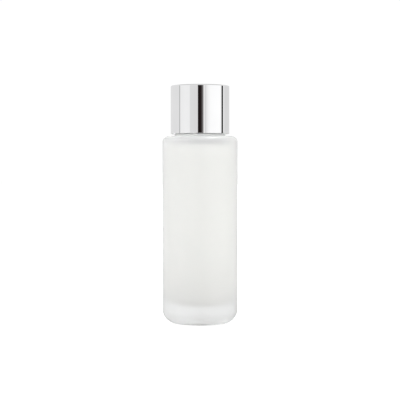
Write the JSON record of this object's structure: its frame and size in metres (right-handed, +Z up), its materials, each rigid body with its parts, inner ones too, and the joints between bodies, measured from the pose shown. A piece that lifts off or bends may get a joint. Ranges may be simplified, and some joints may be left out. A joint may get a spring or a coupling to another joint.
{
  "type": "foundation bottle",
  "caption": "Frosted thick-walled glass cylinder for liquid foundation, with a rounded heel, a flat shoulder and a mirror-bright metal screw cap.",
  "frame": {"origin": "centre of the base, on the plane that the bottle stands on", "axes": "+Z up along the bottle's axis, from the base to the cap"},
  "size_m": [0.034, 0.034, 0.1075],
  "materials": {
    "frosted_glass": "matte",
    "foundation": "satin",
    "plug_plastic": "satin",
    "wad_foam": "matte",
    "inner_plastic": "satin",
    "weight_steel": "satin",
    "pad_foam": "matte",
    "bright_aluminium": "polished"
  },
  "bodies": {
    "bottle": {"glass_bottle": "frosted_glass", "foundation_fill": "foundation", "pour_plug": "plug_plastic"},
    "liner": {"sealing_wad": "wad_foam"},
    "cap": {"inner_cap": "inner_plastic", "cap_weight": "weight_steel", "weight_pad": "pad_foam", "cap_shell": "bright_aluminium"}
  },
  "joints": [
    {"name": "cap_rise", "type": "slide", "parent": "bottle", "child": "liner", "axis": [0, 0, 1], "range_m": [0, 0.0127]},
    {"name": "cap_turn", "type": "hinge", "parent": "liner", "child": "cap", "pos_m": [0, 0, 0.0857], "axis": [0, 0, 1], "range_deg": [0, 1440]}
  ],
  "couplings": [
    {"joint": "cap_rise", "follows": "cap_turn", "m_per_rad": 0.00050532}
  ]
}
